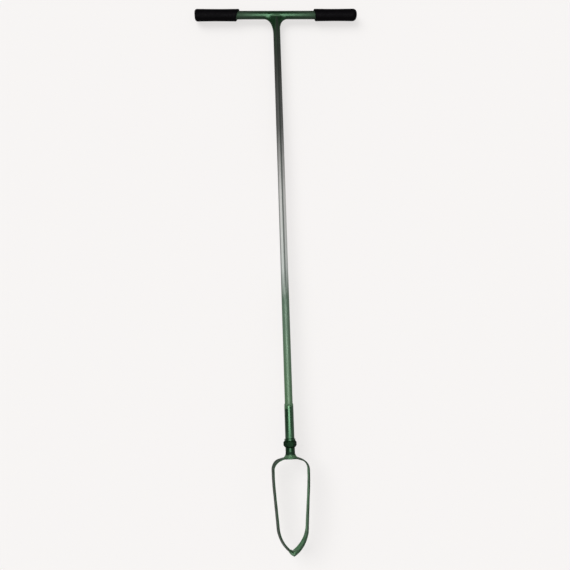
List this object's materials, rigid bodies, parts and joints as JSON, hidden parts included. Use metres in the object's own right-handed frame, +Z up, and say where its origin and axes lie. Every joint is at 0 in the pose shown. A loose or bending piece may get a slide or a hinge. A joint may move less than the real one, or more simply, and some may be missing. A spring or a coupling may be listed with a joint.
{
  "type": "hand earth auger",
  "caption": "Hand earth auger: a long tube shaft with a cross handle in rubber grips and an open bladed bit that screws into its foot, for boring holes in soil.",
  "frame": {"origin": "the point of the bit, on the axis of the shaft", "axes": "+Z up the shaft, X along the handle with the right-hand grip at +X, -Y is the front in the picture"},
  "size_m": [0.442, 0.031, 1.399],
  "materials": {
    "green_enamel": "dark green enamel, glossy, thin and scuffed along the shaft",
    "worn_enamel": "thin grey-green enamel, rubbed to steel at the cutting edges",
    "bright_steel": "plain machined steel, lightly oiled",
    "black_rubber": "matt black moulded rubber"
  },
  "bodies": {
    "handle_and_shaft": {"handle_bar": "green_enamel", "left_grip": "black_rubber", "right_grip": "black_rubber", "tee_weld": "green_enamel", "shaft_tube": "green_enamel", "thread_socket": "green_enamel", "socket_weld": "green_enamel"},
    "lock_washer": {"spring_washer": "green_enamel"},
    "auger_bit": {"lock_nut": "green_enamel", "thread_stud": "bright_steel", "bit_neck": "green_enamel", "neck_weld": "green_enamel", "left_blade": "worn_enamel", "right_blade": "worn_enamel", "tip_weld": "worn_enamel"}
  },
  "joints": [
    {"name": "head_travel", "type": "slide", "parent": "handle_and_shaft", "child": "lock_washer", "axis": [0, 0, -1], "range_m": [0, 0.0434]},
    {"name": "head_turn", "type": "hinge", "parent": "lock_washer", "child": "auger_bit", "pos_m": [0, 0, 0.2627], "axis": [0, 0, -1], "range_deg": [0, 6750]}
  ],
  "couplings": [
    {"joint": "head_travel", "follows": "head_turn", "m_per_rad": 0.0003675}
  ]
}
